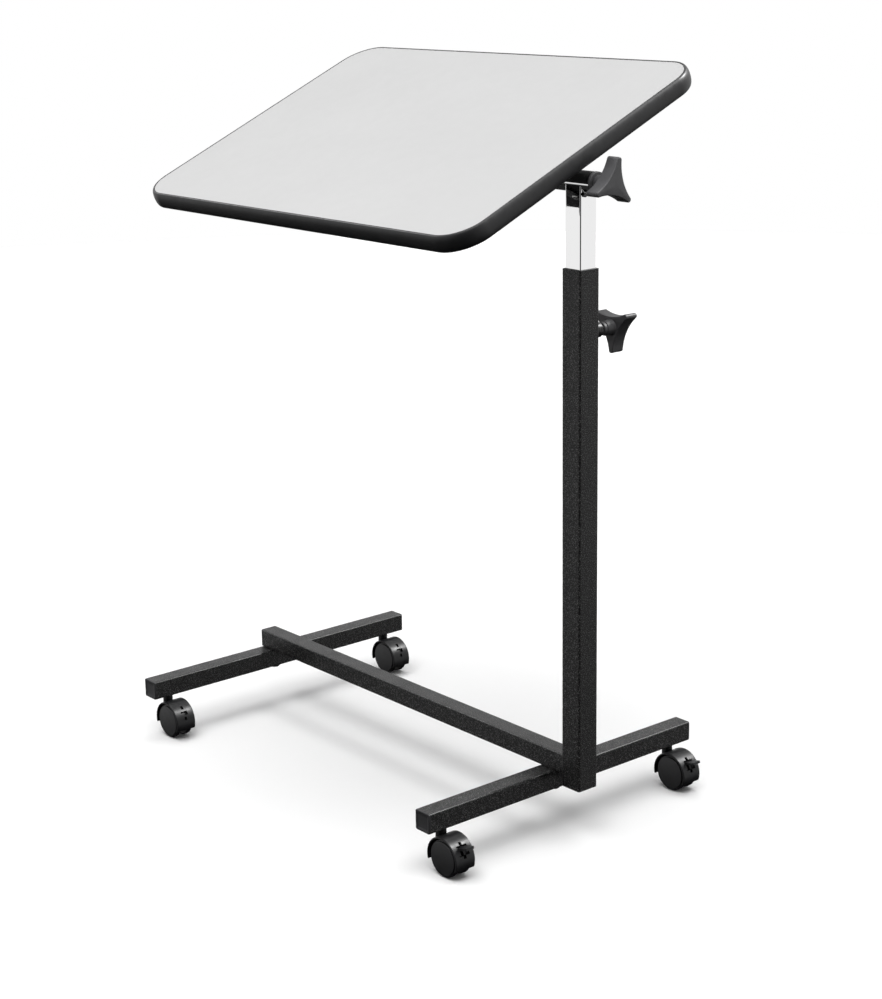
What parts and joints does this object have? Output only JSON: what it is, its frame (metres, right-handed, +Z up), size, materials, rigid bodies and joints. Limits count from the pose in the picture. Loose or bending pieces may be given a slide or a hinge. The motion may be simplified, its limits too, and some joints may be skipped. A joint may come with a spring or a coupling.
{
  "type": "overbed table",
  "caption": "Overbed table: tilting laminate top on a height-adjustable chrome post, black square-tube H base on twin-wheel casters.",
  "frame": {"origin": "on the floor under the middle of the whole object's box", "axes": "+Z up; the spine runs from the mast towards -X, the feet and the table's width lie along Y, and the table's +Y side is the raised one"},
  "size_m": [0.6928, 0.43, 0.9064],
  "materials": {
    "frame_paint": "textured black powder coat",
    "chrome": "polished chrome plate",
    "cap_plastic": "moulded black polyethylene",
    "black_steel": "black oxide",
    "zinc_steel": "zinc plated",
    "caster_steel": "blackened steel",
    "brass": "turned",
    "knob_plastic": "moulded black nylon, fine grain",
    "board": "chipboard core",
    "laminate": "light grey satin melamine",
    "backing": "black backing sheet, matt",
    "edge_plastic": "satin black moulded edge",
    "caster_plastic": "satin black nylon",
    "wheel_plastic": "satin black nylon"
  },
  "bodies": {
    "base": {"spine_tube": "frame_paint", "near_foot_tube": "frame_paint", "far_foot_tube": "frame_paint", "foot_end_caps": "cap_plastic", "spine_end_cap": "cap_plastic", "foot_bolts": "black_steel", "foot_bolt_washers": "black_steel", "spine_weld_nuts": "zinc_steel", "caster_weld_nuts": "zinc_steel", "mast_tube": "frame_paint", "mast_guide": "cap_plastic", "mast_bottom_plug": "cap_plastic", "clamp_boss": "frame_paint", "near_left_stem": "caster_steel", "near_right_stem": "caster_steel", "far_left_stem": "caster_steel", "far_right_stem": "caster_steel"},
    "height_pad": {"height_pad": "brass"},
    "height_knob": {"height_stud": "chrome", "height_spacer": "knob_plastic", "height_knob": "knob_plastic"},
    "post": {"inner_post": "chrome", "post_glide": "cap_plastic", "pivot_sleeve": "chrome"},
    "table": {"support_tube": "frame_paint", "thrust_collar": "frame_paint", "support_plug": "zinc_steel", "support_end_cap": "cap_plastic", "cross_arm_near": "frame_paint", "cross_arm_far": "frame_paint", "table_rail": "frame_paint", "tube_straps": "zinc_steel", "strap_screws": "zinc_steel", "arm_screws": "zinc_steel", "table_board": "board", "table_laminate": "laminate", "table_backing": "backing", "edge_band": "edge_plastic"},
    "tilt_washer": {"tilt_washer": "knob_plastic"},
    "tilt_knob": {"tilt_stud": "chrome", "tilt_knob": "knob_plastic"},
    "near_left_swivel": {"near_left_hood": "caster_plastic", "near_left_axle": "zinc_steel"},
    "near_left_wheel_a": {"near_left_wheel_a": "wheel_plastic"},
    "near_left_wheel_b": {"near_left_wheel_b": "wheel_plastic"},
    "near_left_brake_lever": {"near_left_brake_lever": "caster_plastic"},
    "near_right_swivel": {"near_right_hood": "caster_plastic", "near_right_axle": "zinc_steel"},
    "near_right_wheel_a": {"near_right_wheel_a": "wheel_plastic"},
    "near_right_wheel_b": {"near_right_wheel_b": "wheel_plastic"},
    "near_right_brake_lever": {"near_right_brake_lever": "caster_plastic"},
    "far_left_swivel": {"far_left_hood": "caster_plastic", "far_left_axle": "zinc_steel"},
    "far_left_wheel_a": {"far_left_wheel_a": "wheel_plastic"},
    "far_left_wheel_b": {"far_left_wheel_b": "wheel_plastic"},
    "far_right_swivel": {"far_right_hood": "caster_plastic", "far_right_axle": "zinc_steel"},
    "far_right_wheel_a": {"far_right_wheel_a": "wheel_plastic"},
    "far_right_wheel_b": {"far_right_wheel_b": "wheel_plastic"}
  },
  "joints": [
    {"name": "post_slide", "type": "slide", "parent": "base", "child": "post", "axis": [0, 0, 1], "range_m": [-0.065, 0.235]},
    {"name": "height_pad_travel", "type": "slide", "parent": "base", "child": "height_pad", "axis": [0, 1, 0], "range_m": [0, 0.00188]},
    {"name": "height_knob_turn", "type": "hinge", "parent": "height_pad", "child": "height_knob", "pos_m": [0.2906, 0.042, 0.6158], "axis": [0, 1, 0], "range_deg": [0, 540]},
    {"name": "table_tilt", "type": "hinge", "parent": "post", "child": "table", "pos_m": [0.2906, -0.008, 0.7853], "axis": [1, 0, 0], "range_deg": [-69.2, 20.8]},
    {"name": "tilt_washer_travel", "type": "slide", "parent": "table", "child": "tilt_washer", "axis": [1, 0, 0], "range_m": [0, 0.00188]},
    {"name": "tilt_knob_turn", "type": "hinge", "parent": "tilt_washer", "child": "tilt_knob", "pos_m": [0.3356, -0.008, 0.7853], "axis": [1, 0, 0], "range_deg": [0, 540]},
    {"name": "near_left_swivel", "type": "hinge", "parent": "base", "child": "near_left_swivel", "pos_m": [0.2471, -0.1875, 0.04], "axis": [0, 0, 1], "continuous": true},
    {"name": "near_left_roll_a", "type": "hinge", "parent": "near_left_swivel", "child": "near_left_wheel_a", "pos_m": [0.2645, -0.1875, 0.023], "axis": [0, 1, 0], "continuous": true},
    {"name": "near_left_roll_b", "type": "hinge", "parent": "near_left_swivel", "child": "near_left_wheel_b", "pos_m": [0.2645, -0.1875, 0.023], "axis": [0, 1, 0], "continuous": true},
    {"name": "near_left_brake", "type": "hinge", "parent": "near_left_swivel", "child": "near_left_brake_lever", "pos_m": [0.27949, -0.1875, 0.03799], "axis": [0, 1, 0], "range_deg": [0, 22]},
    {"name": "near_right_swivel", "type": "hinge", "parent": "base", "child": "near_right_swivel", "pos_m": [0.2471, 0.1875, 0.04], "axis": [0, 0, 1], "continuous": true},
    {"name": "near_right_roll_a", "type": "hinge", "parent": "near_right_swivel", "child": "near_right_wheel_a", "pos_m": [0.2645, 0.1875, 0.023], "axis": [0, 1, 0], "continuous": true},
    {"name": "near_right_roll_b", "type": "hinge", "parent": "near_right_swivel", "child": "near_right_wheel_b", "pos_m": [0.2645, 0.1875, 0.023], "axis": [0, 1, 0], "continuous": true},
    {"name": "near_right_brake", "type": "hinge", "parent": "near_right_swivel", "child": "near_right_brake_lever", "pos_m": [0.27949, 0.1875, 0.03799], "axis": [0, 1, 0], "range_deg": [0, 22]},
    {"name": "far_left_swivel", "type": "hinge", "parent": "base", "child": "far_left_swivel", "pos_m": [-0.3339, -0.1875, 0.04], "axis": [0, 0, 1], "continuous": true},
    {"name": "far_left_roll_a", "type": "hinge", "parent": "far_left_swivel", "child": "far_left_wheel_a", "pos_m": [-0.3165, -0.1875, 0.023], "axis": [0, 1, 0], "continuous": true},
    {"name": "far_left_roll_b", "type": "hinge", "parent": "far_left_swivel", "child": "far_left_wheel_b", "pos_m": [-0.3165, -0.1875, 0.023], "axis": [0, 1, 0], "continuous": true},
    {"name": "far_right_swivel", "type": "hinge", "parent": "base", "child": "far_right_swivel", "pos_m": [-0.3339, 0.1875, 0.04], "axis": [0, 0, 1], "continuous": true},
    {"name": "far_right_roll_a", "type": "hinge", "parent": "far_right_swivel", "child": "far_right_wheel_a", "pos_m": [-0.3165, 0.1875, 0.023], "axis": [0, 1, 0], "continuous": true},
    {"name": "far_right_roll_b", "type": "hinge", "parent": "far_right_swivel", "child": "far_right_wheel_b", "pos_m": [-0.3165, 0.1875, 0.023], "axis": [0, 1, 0], "continuous": true}
  ],
  "couplings": [
    {"joint": "height_pad_travel", "follows": "height_knob_turn", "m_per_rad": 0.00019894},
    {"joint": "tilt_washer_travel", "follows": "tilt_knob_turn", "m_per_rad": 0.00019894}
  ]
}
